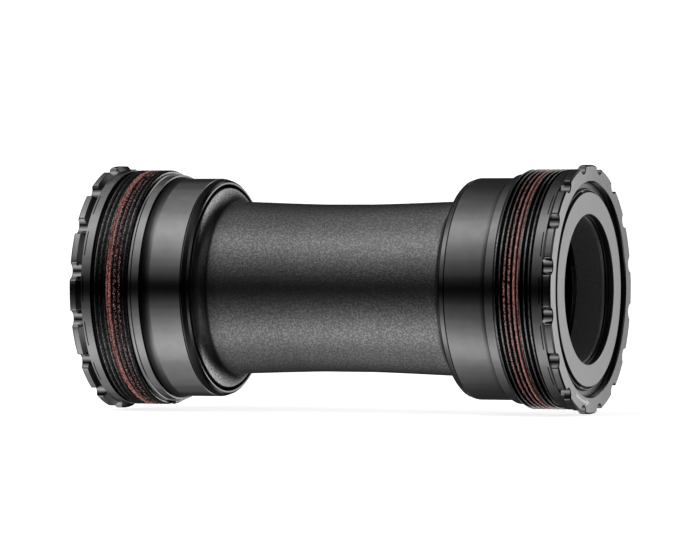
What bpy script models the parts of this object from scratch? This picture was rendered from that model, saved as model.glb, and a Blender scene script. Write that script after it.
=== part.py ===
"""Bottom bracket: two threaded cups on a centre sleeve, with a sealed ball bearing in each cup.

Units are metres. The spindle axis is X, the drive side is +X and +Z is up.
Round pieces are turned from closed outlines of (depth, radius) points. In a cup, depth runs
inward from the outboard face of the rim, and on the sleeve it runs from the middle plane.
"""
import math

import bmesh
import bpy
from mathutils import Matrix

# Whole assembly, rim face to rim face, as the cups stand on the sleeve
FACE_TO_FACE = 0.1013

# Fits between neighbouring pieces
FIT_GAP = 0.0001
RUNNING_GAP = 0.0003

# Spindle bore, the bush that lines it and the bearing round the bush
SPINDLE_DIAMETER = 0.0290
BUSH_WALL = 0.0004
BUSH_LENGTH = 0.0059
BUSH_CHAMFER = 0.0002
BEARING_SECTION = 0.0060
BEARING_WIDTH = 0.0070
BALL_DIAMETER = 0.0035
BALL_COUNT = 17
BALL_PLAY = 0.0003
CAGE_WALL = 0.0015
BEARING_SEAL_THICKNESS = 0.0005
BEARING_SEAL_INSET = 0.00015

# Outboard pieces between the rim face and the bearing
COVER_RECESS = 0.00043
COVER_THICKNESS = 0.0011
COVER_CHAMFER = 0.00015
COVER_BORE_MARGIN = 0.0002
COVER_SURROUND = 0.00195
WIPER_THICKNESS = 0.0006
LIP_THICKNESS = 0.0006
LIP_HEIGHT = 0.0007
LIP_WIDTH = 0.0004

# Cup walls and steps, as radial heights
CUP_WALL = 0.0024
COLLAR_STEP = 0.00015
RIM_STEP = 0.0008
RELIEF_STEP = 0.0003
PILOT_STEP = 0.00085
BARREL_STEP = 0.00075
BARREL_WALL = 0.0012
SHOULDER_HEIGHT = 0.0019
OPENING_CHAMFER = 0.0002

# Cup lengths, from the rim face inward
RIM_THICKNESS = 0.0018
RIM_CHAMFER = 0.0003
COLLAR_LENGTH = 0.0024
RELIEF_LENGTH = 0.0007
THREAD_LENGTH = 0.0072
THREAD_RUNOUT = 0.0004
PILOT_LENGTH = 0.0019
BARREL_LENGTH = 0.0085
BARREL_FILLET = 0.0007
MOUTH_CHAMFER_LENGTH = 0.0019
MOUTH_CHAMFER_HEIGHT = 0.0007
SHOULDER_THICKNESS = 0.0026

# Notches for the fitting tool, round and cut through the rim
NOTCH_COUNT = 16
NOTCH_DIAMETER = 0.0034
NOTCH_DEPTH = 0.00145
NONDRIVE_CUP_TURN = math.radians(-3.1)

# Centre sleeve and the O-rings that hold the cups on it
SLEEVE_BORE_MARGIN = 0.0010
SLEEVE_WALL = 0.0012
SLEEVE_STRAIGHT = 0.0100
SLEEVE_DRAFT = 0.00062
SLEEVE_FLARE = 0.0030
SLEEVE_INSERTION = 0.00435
SLEEVE_LEAD = 0.00055
SLEEVE_SIDE_GAP = 0.0005
SLEEVE_END_CHAMFER = 0.0004
O_RING_SECTION = 0.0015
O_RING_PLAY = 0.0002

# Facets round each circle
CUP_SEGMENTS = 48
RING_SEGMENTS = 32
HIDDEN_SEGMENTS = 24
BALL_SEGMENTS = 8
BALL_RINGS = 4
POCKET_SEGMENTS = 8
NOTCH_SEGMENTS = 10
GROOVE_STEPS = 3
FLARE_STEPS = 4
FILLET_STEPS = 1
O_RING_SIDES = 6
SHARP_ANGLE = math.radians(28)

# Radii that follow from the sizes above
spindle_radius = SPINDLE_DIAMETER / 2
bush_radius = spindle_radius + BUSH_WALL
bearing_bore = bush_radius + FIT_GAP
bearing_radius = bearing_bore + BEARING_SECTION
pitch_radius = bearing_bore + BEARING_SECTION / 2
ball_radius = BALL_DIAMETER / 2
groove_radius = ball_radius + BALL_PLAY
race_half_gap = CAGE_WALL / 2 + RUNNING_GAP
inner_race_radius = pitch_radius - race_half_gap
outer_race_radius = pitch_radius + race_half_gap
seat_radius = bearing_radius + FIT_GAP
cover_radius = seat_radius - COVER_SURROUND
thread_radius = seat_radius + CUP_WALL
collar_radius = thread_radius + COLLAR_STEP
rim_radius = collar_radius + RIM_STEP
relief_radius = thread_radius - RELIEF_STEP
pilot_radius = thread_radius - PILOT_STEP
barrel_radius = pilot_radius - BARREL_STEP
socket_radius = barrel_radius - BARREL_WALL
shoulder_radius = seat_radius - SHOULDER_HEIGHT
sleeve_bore = spindle_radius + SLEEVE_BORE_MARGIN
sleeve_radius = sleeve_bore + SLEEVE_WALL
sleeve_rim_radius = socket_radius - SLEEVE_SIDE_GAP
o_ring_outer = socket_radius - O_RING_PLAY
o_ring_inner = o_ring_outer - O_RING_SECTION
groove_floor = o_ring_inner - RUNNING_GAP

# Depths that follow from the sizes above
cover_back = COVER_RECESS + COVER_THICKNESS
wiper_front = cover_back + FIT_GAP
wiper_back = wiper_front + WIPER_THICKNESS
bearing_front = wiper_back + FIT_GAP
bearing_back = bearing_front + BEARING_WIDTH
bearing_middle = bearing_front + BEARING_WIDTH / 2
shoulder_front = bearing_back + FIT_GAP
shoulder_back = shoulder_front + SHOULDER_THICKNESS
collar_end = RIM_THICKNESS + COLLAR_LENGTH
thread_start = collar_end + RELIEF_LENGTH
thread_end = thread_start + THREAD_LENGTH
pilot_end = thread_end + PILOT_LENGTH
barrel_end = pilot_end + BARREL_LENGTH
cup_length = barrel_end + MOUTH_CHAMFER_LENGTH
mouth_distance = FACE_TO_FACE / 2 - cup_length


def clear_scene():
    """Remove every object that the file starts with."""
    for leftover in list(bpy.data.objects):
        bpy.data.objects.remove(leftover)


def make_material(name, color, roughness, metallic):
    """A plain surface with its colour, roughness and metallic value."""
    surface = bpy.data.materials.new(name)
    surface.use_nodes = True
    shader = surface.node_tree.nodes["Principled BSDF"]
    shader.inputs["Base Color"].default_value = (*color, 1.0)
    shader.inputs["Roughness"].default_value = roughness
    shader.inputs["Metallic"].default_value = metallic
    return surface


def make_empty(name, parent=None, location=(0.0, 0.0, 0.0), turn=0.0):
    """An axis that pieces hang on, turned about Z."""
    axis = bpy.data.objects.new(name, None)
    axis.parent = parent
    axis.location = location
    axis.rotation_euler = (0.0, 0.0, turn)
    axis.empty_display_size = seat_radius
    bpy.context.collection.objects.link(axis)
    return axis


def make_piece(name, shape, surface, parent):
    """Turn a finished bmesh into a named object on its axis."""
    bmesh.ops.recalc_face_normals(shape, faces=shape.faces)
    mesh = bpy.data.meshes.new(name)
    shape.to_mesh(mesh)
    shape.free()
    mesh.shade_smooth()
    mesh.set_sharp_from_angle(angle=SHARP_ANGLE)
    mesh.materials.append(surface)
    piece = bpy.data.objects.new(name, mesh)
    piece.parent = parent
    bpy.context.collection.objects.link(piece)
    return piece


def turned_shape(outline, segments):
    """Spin a closed outline of (depth, radius) points once round the spindle axis."""
    shape = bmesh.new()
    corners = [shape.verts.new((-depth, 0.0, radius)) for depth, radius in outline]
    sides = [shape.edges.new((corners[i - 1], corners[i])) for i in range(len(corners))]
    bmesh.ops.spin(
        shape,
        geom=corners + sides,
        cent=(0.0, 0.0, 0.0),
        axis=(1.0, 0.0, 0.0),
        angle=math.tau,
        steps=segments,
        use_merge=True,
    )
    return shape


def make_turned(name, outline, segments, surface, parent):
    """A turned piece on its axis."""
    return make_piece(name, turned_shape(outline, segments), surface, parent)


def cut_with(piece, cutters):
    """Subtract a hidden cutter from a piece."""
    cutters.hide_render = True
    cutters.display_type = 'WIRE'
    cut = piece.modifiers.new("cut", 'BOOLEAN')
    cut.operation = 'DIFFERENCE'
    cut.solver = 'EXACT'
    cut.object = cutters


def arc(center, radii, start, end, steps):
    """Points on an ellipse from one angle to another, both ends included."""
    points = []
    for step in range(steps + 1):
        angle = start + (end - start) * step / steps
        depth = center[0] + radii[0] * math.sin(angle)
        radius = center[1] + radii[1] * math.cos(angle)
        points.append((depth, radius))
    return points


def cup_outline():
    """Rim, collar, relief, thread land, pilot, barrel and mouth outside; seat and socket inside."""
    mouth_radius = barrel_radius - MOUTH_CHAMFER_HEIGHT
    fillet_center = (pilot_end + BARREL_FILLET, barrel_radius + BARREL_FILLET)
    fillet_radii = (BARREL_FILLET, BARREL_FILLET)
    fillet = arc(fillet_center, fillet_radii, -math.pi / 2, -math.pi, FILLET_STEPS)
    return [
        (0.0, rim_radius - RIM_CHAMFER),
        (RIM_CHAMFER, rim_radius),
        (RIM_THICKNESS, rim_radius),
        (RIM_THICKNESS, collar_radius),
        (collar_end, collar_radius),
        (collar_end, relief_radius),
        (thread_start, relief_radius),
        (thread_start, thread_radius),
        (thread_end - THREAD_RUNOUT, thread_radius),
        (thread_end, pilot_radius),
        (pilot_end, pilot_radius),
        *fillet,
        (barrel_end, barrel_radius),
        (cup_length, mouth_radius),
        (cup_length, socket_radius),
        (shoulder_back, socket_radius),
        (shoulder_back, shoulder_radius),
        (shoulder_front, shoulder_radius),
        (shoulder_front, seat_radius),
        (OPENING_CHAMFER, seat_radius),
        (0.0, seat_radius + OPENING_CHAMFER),
    ]


def notch_bars(cup_turn):
    """Round bars along the axis, one at each notch, with a tooth at the top before the cup is turned."""
    bar_radius = NOTCH_DIAMETER / 2
    bar_length = RIM_THICKNESS + 2 * RUNNING_GAP
    bar_circle = rim_radius - NOTCH_DEPTH + bar_radius
    shape = bmesh.new()
    for index in range(NOTCH_COUNT):
        angle = cup_turn + math.tau * (index + 0.5) / NOTCH_COUNT
        along_axis = Matrix.Rotation(math.pi / 2, 4, 'Y')
        at_rim = Matrix.Translation((-RIM_THICKNESS / 2, 0.0, bar_circle))
        bmesh.ops.create_cone(
            shape,
            cap_ends=True,
            segments=NOTCH_SEGMENTS,
            radius1=bar_radius,
            radius2=bar_radius,
            depth=bar_length,
            matrix=Matrix.Rotation(angle, 4, 'X') @ at_rim @ along_axis,
        )
    return shape


def make_cup(side, parent, surface, cup_turn):
    """The threaded shell, with its rim notched for the fitting tool."""
    cup = make_turned(f"{side}_cup", cup_outline(), CUP_SEGMENTS, surface, parent)
    cut_with(cup, make_piece(f"{side}_notch_cutters", notch_bars(cup_turn), surface, parent))


def ball_groove(facing):
    """Half-round ball track, cut into the race on the side that facing points to."""
    opening = math.acos(race_half_gap / groove_radius)
    if facing > 0:
        angles = (opening, -opening)
    else:
        angles = (math.pi + opening, math.pi - opening)
    center = (bearing_middle, pitch_radius)
    return arc(center, (groove_radius, groove_radius), angles[0], angles[1], GROOVE_STEPS)


def make_bearing(side, fixed, spinning, rolling, surfaces):
    """Outer and inner race, two seals, and a pocketed cage with its balls."""
    outer_outline = [
        (bearing_front, outer_race_radius),
        (bearing_front, bearing_radius),
        (bearing_back, bearing_radius),
        (bearing_back, outer_race_radius),
        *ball_groove(1),
    ]
    inner_outline = [
        (bearing_back, inner_race_radius),
        (bearing_back, bearing_bore),
        (bearing_front, bearing_bore),
        (bearing_front, inner_race_radius),
        *ball_groove(-1),
    ]
    steel = surfaces["steel"]
    make_turned(f"{side}_bearing_outer_race", outer_outline, HIDDEN_SEGMENTS, steel, fixed)
    make_turned(f"{side}_bearing_inner_race", inner_outline, HIDDEN_SEGMENTS, steel, spinning)

    seal_low = inner_race_radius + RUNNING_GAP
    seal_high = outer_race_radius - FIT_GAP
    outboard = bearing_front + BEARING_SEAL_INSET
    inboard = bearing_back - BEARING_SEAL_INSET - BEARING_SEAL_THICKNESS
    for place, depth in (("outboard", outboard), ("inboard", inboard)):
        seal_outline = rectangle(depth, depth + BEARING_SEAL_THICKNESS, seal_low, seal_high)
        seal_name = f"{side}_{place}_bearing_seal"
        make_turned(seal_name, seal_outline, HIDDEN_SEGMENTS, surfaces["rubber"], fixed)

    make_cage(side, outboard + BEARING_SEAL_THICKNESS, inboard, rolling, surfaces["cage"])
    make_balls(side, rolling, surfaces["ball"])


def rectangle(front, back, low, high):
    """Outline of a plain ring."""
    return [(front, low), (front, high), (back, high), (back, low)]


def make_cage(side, front_limit, back_limit, parent, surface):
    """A ring between the races with a round pocket for each ball."""
    low = inner_race_radius + RUNNING_GAP
    high = outer_race_radius - RUNNING_GAP
    outline = rectangle(front_limit + RUNNING_GAP, back_limit - RUNNING_GAP, low, high)
    cage = make_turned(f"{side}_ball_cage", outline, 2 * BALL_COUNT, surface, parent)
    shape = bmesh.new()
    for index in range(BALL_COUNT):
        angle = math.tau * index / BALL_COUNT
        at_track = Matrix.Translation((-bearing_middle, 0.0, pitch_radius))
        bmesh.ops.create_cone(
            shape,
            cap_ends=True,
            segments=POCKET_SEGMENTS,
            radius1=groove_radius,
            radius2=groove_radius,
            depth=BEARING_SECTION,
            matrix=Matrix.Rotation(angle, 4, 'X') @ at_track,
        )
    cut_with(cage, make_piece(f"{side}_pocket_cutters", shape, surface, parent))


def make_balls(side, parent, surface):
    """One ball in each pocket of the cage."""
    for index in range(BALL_COUNT):
        angle = math.tau * index / BALL_COUNT
        shape = bmesh.new()
        bmesh.ops.create_uvsphere(
            shape,
            u_segments=BALL_SEGMENTS,
            v_segments=BALL_RINGS,
            radius=ball_radius,
        )
        ball = make_piece(f"{side}_ball_{index + 1:02d}", shape, surface, parent)
        on_track = Matrix.Translation((-bearing_middle, 0.0, pitch_radius))
        ball.matrix_local = Matrix.Rotation(angle, 4, 'X') @ on_track


def make_outboard_pieces(side, fixed, spinning, surfaces):
    """Bush in the bearing's bore, wiper and dust cover on the inner race, lip seal round the cover."""
    bush_front = bearing_front + FIT_GAP
    bush_back = bush_front + BUSH_LENGTH
    bush_outline = [
        (bush_front, spindle_radius + BUSH_CHAMFER),
        (bush_front, bush_radius),
        (bush_back, bush_radius),
        (bush_back, spindle_radius + BUSH_CHAMFER),
        (bush_back - BUSH_CHAMFER, spindle_radius),
        (bush_front + BUSH_CHAMFER, spindle_radius),
    ]
    make_turned(f"{side}_spindle_bush", bush_outline, HIDDEN_SEGMENTS, surfaces["bush"], spinning)

    wiper_low = spindle_radius + FIT_GAP
    wiper_outline = rectangle(wiper_front, wiper_back, wiper_low, inner_race_radius)
    make_turned(f"{side}_spindle_wiper", wiper_outline, HIDDEN_SEGMENTS, surfaces["rubber"], spinning)

    cover_bore = spindle_radius + COVER_BORE_MARGIN
    cover_outline = [
        (COVER_RECESS, cover_bore + COVER_CHAMFER),
        (COVER_RECESS, cover_radius - COVER_CHAMFER),
        (COVER_RECESS + COVER_CHAMFER, cover_radius),
        (cover_back, cover_radius),
        (cover_back, cover_bore),
        (COVER_RECESS + COVER_CHAMFER, cover_bore),
    ]
    make_turned(f"{side}_dust_cover", cover_outline, RING_SEGMENTS, surfaces["cover"], spinning)

    lip_low = cover_radius + RUNNING_GAP
    lip_back = bearing_front - FIT_GAP
    lip_front = lip_back - LIP_THICKNESS
    lip_outline = [
        (lip_front - LIP_HEIGHT, lip_low),
        (lip_front - LIP_HEIGHT, lip_low + LIP_WIDTH / 2),
        (lip_front, lip_low + LIP_WIDTH),
        (lip_front, bearing_radius),
        (lip_back, bearing_radius),
        (lip_back, lip_low),
    ]
    make_turned(f"{side}_lip_seal", lip_outline, HIDDEN_SEGMENTS, surfaces["rubber"], fixed)


def make_o_ring(side, parent, surface):
    """Round ring in the sleeve's groove that grips the inside of the cup."""
    section = O_RING_SECTION / 2
    center = (FACE_TO_FACE / 2 - groove_middle(), o_ring_inner + section)
    outline = arc(center, (section, section), 0.0, math.tau, O_RING_SIDES)[:-1]
    make_turned(f"{side}_sleeve_o_ring", outline, HIDDEN_SEGMENTS, surface, parent)


def groove_middle():
    """Distance of each O-ring's groove from the middle plane, halfway along the bell's rim."""
    return mouth_distance + (SLEEVE_LEAD + SLEEVE_INSERTION) / 2


def sleeve_half():
    """Outside and inside of one half of the sleeve, from the middle plane to its end."""
    rim_start = mouth_distance + SLEEVE_LEAD
    flare_start = rim_start - SLEEVE_FLARE
    end = mouth_distance + SLEEVE_INSERTION
    waist = sleeve_radius + SLEEVE_DRAFT
    flare_height = sleeve_rim_radius - waist
    flare_center = (flare_start, waist + flare_height)
    flare = arc(flare_center, (SLEEVE_FLARE, flare_height), math.pi, math.pi / 2, FLARE_STEPS)
    half_groove = O_RING_SECTION / 2 + O_RING_PLAY
    groove_start = groove_middle() - half_groove
    groove_end = groove_middle() + half_groove
    bell_bore = groove_floor - SLEEVE_WALL
    outside = [
        (SLEEVE_STRAIGHT / 2, sleeve_radius),
        *flare,
        (groove_start, sleeve_rim_radius),
        (groove_start, groove_floor),
        (groove_end, groove_floor),
        (groove_end, sleeve_rim_radius),
        (end - SLEEVE_END_CHAMFER, sleeve_rim_radius),
        (end, sleeve_rim_radius - SLEEVE_END_CHAMFER),
    ]
    inside = [
        (SLEEVE_STRAIGHT / 2, sleeve_bore),
        (flare_start, sleeve_bore + SLEEVE_DRAFT),
        (groove_start, bell_bore),
        (end, bell_bore),
    ]
    return outside, inside


def make_sleeve(surface):
    """Moulded sleeve with a straight waist, a slight draft and a flared bell at each end."""
    outside, inside = sleeve_half()
    right_side = [*outside, *reversed(inside)]
    left_side = [(-depth, radius) for depth, radius in reversed(right_side)]
    make_turned("center_sleeve", right_side + left_side, RING_SEGMENTS, surface, None)


def make_side(side, turn, cup_turn, surfaces):
    """Everything in one cup, drawn outboard along +X and turned to its own end."""
    outboard = FACE_TO_FACE / 2 * math.cos(turn)
    fixed = make_empty(f"{side}_side", None, (outboard, 0.0, 0.0), turn)
    spinning = make_empty(f"{side}_spindle_axis", fixed)
    rolling = make_empty(f"{side}_cage_axis", fixed)
    make_cup(side, fixed, surfaces["cup"], cup_turn)
    make_bearing(side, fixed, spinning, rolling, surfaces)
    make_outboard_pieces(side, fixed, spinning, surfaces)
    make_o_ring(side, fixed, surfaces["rubber"])


def main():
    """Build both ends and the sleeve between them."""
    clear_scene()
    surfaces = {
        "cup": make_material("black anodised aluminium", (0.022, 0.022, 0.024), 0.36, 0.85),
        "sleeve": make_material("black moulded plastic", (0.020, 0.020, 0.021), 0.55, 0.0),
        "cover": make_material("satin black cover", (0.022, 0.022, 0.023), 0.40, 0.0),
        "rubber": make_material("black rubber", (0.008, 0.008, 0.008), 0.60, 0.0),
        "steel": make_material("bearing steel", (0.60, 0.60, 0.62), 0.22, 1.0),
        "ball": make_material("polished steel", (0.72, 0.72, 0.74), 0.08, 1.0),
        "cage": make_material("ivory nylon", (0.60, 0.55, 0.44), 0.50, 0.0),
        "bush": make_material("dark grey bush", (0.030, 0.030, 0.031), 0.65, 0.0),
    }
    make_side("drive", 0.0, 0.0, surfaces)
    make_side("nondrive", math.pi, NONDRIVE_CUP_TURN, surfaces)
    make_sleeve(surfaces["sleeve"])


if __name__ == "__main__":
    main()
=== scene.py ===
"""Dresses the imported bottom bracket: cups, threads, moulded sleeve, seals, bearings and a studio."""

from math import acos, atan2, cos, pi, radians, sin, tan

import bmesh
import bpy
from bpy.props import FloatProperty, FloatVectorProperty, IntProperty, PointerProperty
from mathutils import Matrix, Vector


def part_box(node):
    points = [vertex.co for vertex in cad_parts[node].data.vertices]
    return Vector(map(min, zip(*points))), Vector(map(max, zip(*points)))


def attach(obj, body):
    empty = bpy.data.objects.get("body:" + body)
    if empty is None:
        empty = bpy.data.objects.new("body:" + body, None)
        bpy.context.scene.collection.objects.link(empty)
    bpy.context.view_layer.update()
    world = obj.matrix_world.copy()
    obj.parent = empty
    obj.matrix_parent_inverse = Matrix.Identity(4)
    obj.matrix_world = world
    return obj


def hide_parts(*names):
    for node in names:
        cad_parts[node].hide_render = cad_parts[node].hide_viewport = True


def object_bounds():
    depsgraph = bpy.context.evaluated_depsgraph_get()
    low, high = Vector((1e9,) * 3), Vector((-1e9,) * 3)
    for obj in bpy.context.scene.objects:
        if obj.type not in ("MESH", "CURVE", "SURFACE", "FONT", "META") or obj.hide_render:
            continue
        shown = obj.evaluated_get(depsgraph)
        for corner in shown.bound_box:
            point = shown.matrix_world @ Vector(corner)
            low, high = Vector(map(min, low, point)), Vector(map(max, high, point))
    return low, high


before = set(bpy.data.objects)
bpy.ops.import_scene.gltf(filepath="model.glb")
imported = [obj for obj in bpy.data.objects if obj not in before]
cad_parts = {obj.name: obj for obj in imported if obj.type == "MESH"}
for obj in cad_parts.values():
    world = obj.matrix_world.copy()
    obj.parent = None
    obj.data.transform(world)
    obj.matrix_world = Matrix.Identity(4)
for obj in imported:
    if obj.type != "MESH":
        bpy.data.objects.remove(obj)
CAD_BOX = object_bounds()

bl_info = {
    "name": "Bottom Bracket Finisher",
    "version": (1, 0, 0),
    "blender": (4, 5, 0),
    "location": "View3D > Sidebar > Bracket",
    "description": "Builds the finished pieces over the packed bottom bracket",
    "category": "Object",
}

# The drive side is built as it stands, and the nondrive side is turned half round the upright axis
SIDES = (("drive", Matrix.Identity(4)), ("nondrive", Matrix.Rotation(pi, 4, "Z")))
RIM_FACE = CAD_BOX[1].x
RIM_RADIUS = CAD_BOX[1].z
IMAGE_WIDTH = 700
FOCAL_PIXELS = 5563.1
SENSOR_WIDTH = 36.0
SMOOTH_ANGLE = radians(40)
# Steps round a turned piece, for those that are seen close and for the rest
FINE_STEPS, PLAIN_STEPS = 128, 96
NUMBER, WHOLE = "NodeSocketFloat", "NodeSocketInt"
BLACK = (0.0, 0.0, 0.0, 1.0)

# Each side's dried thread lock: the turn it starts at, its thickness, how far it reaches below the crest,
# its dull colour, the strength of its fresh colour, and how light the thread's metal grows, which on the
# nondrive side is painted highlight on its crests
LOCKS = {
    "drive": (2.2, 0.05, 0.00016, (0.46, 0.165, 0.155, 1.0), 0.7, 1.1),
    "nondrive": (2.7, 0.0, 0.00008, (0.38, 0.15, 0.145, 1.0), 1.0, 1.8),
}
LOCK_TURNS = 3
LOCK_EDGE = 0.0001
LOCK_DARK = (0.08, 0.014, 0.012, 1.0)
# Pale flecks in the dried lock, painted glints
LOCK_GLINT = (0.95, 0.60, 0.55, 1.0)

# Brightness of the two soft boxes over half a turn about the spindle, from the near side to the far one
BROAD_BOX = (
    (0.0, 0.008), (0.02, 0.012), (0.04, 0.03), (0.065, 0.08), (0.10, 0.17), (0.15, 0.33), (0.20, 0.54),
    (0.25, 0.74), (0.30, 0.92), (0.355, 1.0), (0.40, 0.94), (0.445, 0.74), (0.49, 0.55), (0.545, 0.46),
    (0.60, 0.39), (0.667, 0.26), (0.744, 0.10), (0.867, 0.015), (1.0, 0.005),
)
NARROW_BOX = (
    (0.0, 0.004), (0.045, 0.015), (0.07, 0.045), (0.105, 0.095), (0.139, 0.125), (0.172, 0.18), (0.211, 0.28),
    (0.25, 0.42), (0.283, 0.60), (0.322, 0.78), (0.361, 0.81), (0.405, 0.72), (0.45, 0.50), (0.494, 0.31),
    (0.55, 0.20), (0.605, 0.12), (0.667, 0.06), (0.744, 0.03), (0.867, 0.015), (1.0, 0.008),
)


def length(description, default):
    """A property that holds a length in metres."""
    return FloatProperty(description=description, default=default, unit="LENGTH", precision=5)


def colour(description, default):
    """A property that holds a plain colour."""
    return FloatVectorProperty(description=description, default=default, size=3, subtype="COLOR",
                               min=0.0, max=1.0)


def degrees(description, default):
    """A property that holds an angle, given in degrees."""
    return FloatProperty(description=description, default=radians(default), subtype="ANGLE")


def amount(description, default):
    """A property that holds a plain number."""
    return FloatProperty(description=description, default=default, min=0.0)


def tally(description, default):
    """A property that holds a count."""
    return IntProperty(description=description, default=default, min=3)


def titled(group):
    """Titles each property of a group after its own name."""
    for field, value in group.__annotations__.items():
        value.keywords["name"] = field.replace("_", " ").capitalize()
    return group


def span(node):
    """How deep a drive side node starts and ends behind the rim face, and its outer radius."""
    low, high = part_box(node)
    return RIM_FACE - high.x, RIM_FACE - low.x, high.z


COVER_FRONT, COVER_BACK, COVER_RADIUS = span("drive_dust_cover")
WIPER_FRONT, WIPER_BACK, WIPER_RADIUS = span("drive_spindle_wiper")
LIP_FRONT, LIP_BACK, LIP_RADIUS = span("drive_lip_seal")
BUSH_FRONT, BUSH_BACK, BUSH_RADIUS = span("drive_spindle_bush")
RACE_FRONT, RACE_BACK, RACE_RADIUS = span("drive_bearing_outer_race")
INNER_RACE_RADIUS = span("drive_bearing_inner_race")[2]
CAGE_FRONT, CAGE_BACK, CAGE_RADIUS = span("drive_ball_cage")
MOUTH_DEPTH = span("drive_cup")[1]
SLEEVE_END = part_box("center_sleeve")[1].x
SLEEVE_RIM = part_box("center_sleeve")[1].z
RING_LOW, RING_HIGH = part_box("drive_sleeve_o_ring")


@titled
class BracketCupSizes(bpy.types.PropertyGroup):
    """Sizes of the two cups, as depths behind the rim face and radii about the spindle."""

    rim_chamfer: length("Chamfer round the front of the rim", 0.0003)
    rim_back: length("Depth where the rim's outer surface ends", 0.00142)
    collar_start: length("Depth where the rim's sloping back meets the collar", 0.00216)
    collar_radius: length("Radius of the plain collar behind the rim", 0.0236)
    # Depth of a fine dark line that is painted into the collar behind each tooth, darkening the tint there
    scribe: length("Depth of the fine line in the collar behind each tooth", 0.00262)
    collar_end: length("Depth where the collar ends", 0.0042)
    relief_radius: length("Radius of the groove before the thread", 0.0226)
    thread_start: length("Depth where the thread begins", 0.0048)
    thread_end: length("Depth where the thread runs out", 0.0125)
    thread_root: length("Radius at the bottom of the thread", 0.02288)
    thread_crest: length("Radius at the top of the thread", 0.0235)
    drive_crest: length("Width of the flat on the drive thread's crest", 0.00016)
    nondrive_crest: length("Width of the flat on the other thread's crest", 0.00038)
    thread_pitch: length("Advance of the thread in one turn", 0.001)
    pilot_radius: length("Radius of the plain band after the thread", 0.02265)
    pilot_end: length("Depth where the plain band steps down", 0.0142)
    barrel_radius: length("Radius of the plain barrel", 0.0219)
    barrel_end: length("Depth where the mouth chamfer begins", 0.0229)
    foot_groove: length("Width of the undercut at the foot of the plain band", 0.00026)
    drive_foot: length("Radius of the drive cup's sweep, below nought as it falls", -0.0055)
    drive_slope: degrees("Steepest slope of the drive cup's sweep", 11)
    nondrive_foot: length("Radius of the nondrive cup's hollow sweep", 0.0050)
    nondrive_slope: degrees("Steepest slope of the nondrive cup's sweep", 22)
    mouth_line: length("Depth of the V line before the mouth chamfer", 0.0003)
    mouth_radius: length("Outer radius where the mouth chamfer ends", 0.02153)
    mouth_round: length("Rounding of the edge round the cup's mouth", 0.0004)
    socket_radius: length("Radius of the socket that takes the sleeve", 0.0207)
    socket_end: length("Depth of the socket's floor", 0.01203)
    shoulder_radius: length("Opening through the bearing's shoulder", 0.0192)
    seat_end: length("Depth of the shoulder that the bearing stands on", 0.00943)
    seat_radius: length("Radius of the bearing's seat", 0.0211)
    opening_chamfer: length("Chamfer round the opening in the rim face", 0.00022)
    face_inset: length("How far the face lies under the printed mark", 0.000015)
    arrow_half: length("Half the width of the arrow's shaft", 0.0003)
    arrow_head: length("Half the width of the arrow's head", 0.0007)
    nondrive_turn: degrees("How far the nondrive cup stands turned", -3.1)
    notch_count: tally("Notches for the fitting tool", 16)
    notch_radius: length("Radius of a notch's hollow", 0.0017)
    notch_centre: length("Radius of the circle that the hollows are centred on", 0.0247)
    notch_lip: length("Rounding of a notch's outer corners", 0.00035)


@titled
class BracketSleeveSizes(bpy.types.PropertyGroup):
    """Sizes of the moulded centre sleeve, from its middle plane outward."""

    waist_radius: length("Outer radius at the middle", 0.0167)
    plain_half: length("Half the length of the plain waist", 0.005)
    neck_radius: length("Outer radius where the flare begins", 0.01732)
    neck: length("Distance from the middle to the start of the flare", 0.0242)
    flare_radius: length("Radius of the flare's rim inside the cup's mouth", 0.0199)
    flare_lean: degrees("Slope where the flare begins", 26)
    flare_steep: degrees("Slope where the flare ends", 80)
    bore_radius: length("Inner radius at the middle", 0.0155)
    bell_bore: length("Inner radius at the ends", 0.0175)
    groove_floor: length("Radius of the floor of the O-ring groove", 0.0187)
    groove_half: length("Half the width of the O-ring groove", 0.00095)


@titled
class BracketBearingSizes(bpy.types.PropertyGroup):
    """Sizes of the bearing, the bush and the seals round the spindle."""

    spindle_radius: length("Radius of the crank spindle", 0.0145)
    bore_radius: length("Inner radius of the inner race", 0.0150)
    outer_track: length("Inner radius of the outer race beside its track", 0.01905)
    pitch_radius: length("Radius of the circle of balls", 0.018)
    ball_radius: length("Radius of a ball", 0.00175)
    track_radius: length("Radius of the hollow that the balls run in", 0.00205)
    ball_count: tally("Balls in each bearing", 17)
    cage_bore: length("Inner radius of the cage", 0.01725)
    pocket_radius: length("Radius of a pocket in the cage", 0.00205)
    cover_bore: length("Inner radius of the dust cover", 0.0147)
    wiper_bore: length("Inner radius of the wiper", 0.0146)
    lip_bore: length("Inner radius of the lip seal", 0.01945)


@titled
class BracketColours(bpy.types.PropertyGroup):
    """Colours of the finishes."""

    anodised: colour("Black anodised aluminium", (0.107, 0.107, 0.107))
    thread_lock: colour("Dried red compound on the threads", (0.95, 0.36, 0.32))
    sleeve: colour("Black moulded sleeve", (0.006, 0.006, 0.006))
    cover: colour("Black dust cover", (0.022, 0.022, 0.023))
    # The bush's grey is lighter than the real dark bush: painted light that stands in for light reaching into
    # the bore
    bush: colour("Dark grey bush", (0.26, 0.26, 0.264))
    cage: colour("Nylon cage", (0.40, 0.33, 0.20))
    rubber: colour("Black rubber", (0.010, 0.010, 0.011))
    steel: colour("Ground bearing steel", (0.56, 0.55, 0.54))
    print_white: colour("White printed mark", (0.82, 0.82, 0.82))


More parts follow.
